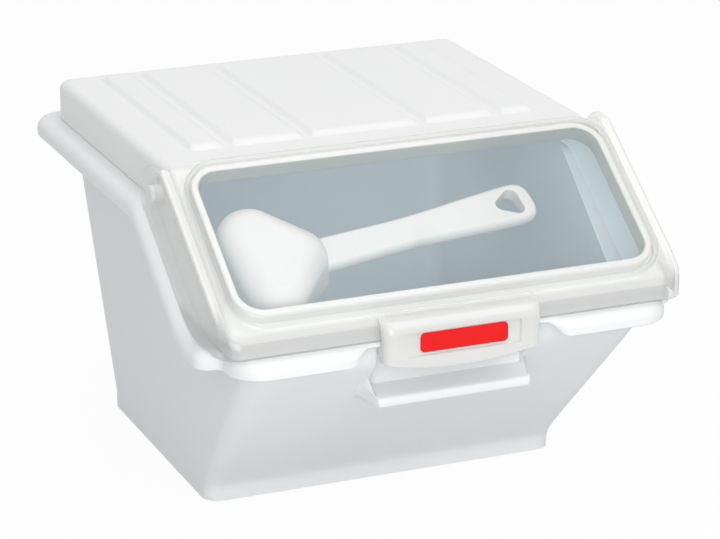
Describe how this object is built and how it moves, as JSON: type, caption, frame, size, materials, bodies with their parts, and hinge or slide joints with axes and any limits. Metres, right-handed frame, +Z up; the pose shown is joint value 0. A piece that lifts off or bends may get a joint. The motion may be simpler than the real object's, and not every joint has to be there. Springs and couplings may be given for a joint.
{
  "type": "shelf ingredient bin",
  "caption": "Counter ingredient bin with a flared tub, ribbed cover, sloping clear lift-up door with a front pull, and a scoop clipped inside the door.",
  "frame": {"origin": "middle of the foot's underside, on the surface that the bin stands on", "axes": "+Z up, +X to the right as seen from the front, the door and its handle face -Y"},
  "size_m": [0.288, 0.3304, 0.2118],
  "materials": {
    "tub_plastic": "satin white moulded polyethylene",
    "cover_plastic": "satin white moulded plastic",
    "clear_plastic": "clear glossy polycarbonate",
    "red_badge": "glossy red",
    "scoop_plastic": "satin white moulded plastic"
  },
  "bodies": {
    "bin": {"bin_body": "tub_plastic"},
    "cover": {"top_cover": "cover_plastic"},
    "door": {"front_door": "clear_plastic", "handle_badge": "red_badge"},
    "scoop": {"scoop": "scoop_plastic"}
  },
  "joints": [
    {"name": "cover_lift", "type": "slide", "parent": "bin", "child": "cover", "axis": [0, 0, 1], "range_m": [0, 0.06]},
    {"name": "door_swing", "type": "hinge", "parent": "cover", "child": "door", "pos_m": [0, -0.07922, 0.1885], "axis": [-1, 0, 0], "range_deg": [0, 74]},
    {"name": "scoop_unclip", "type": "slide", "parent": "door", "child": "scoop", "axis": [0, 0.5664, -0.8241], "range_m": [0, 0.035]}
  ]
}
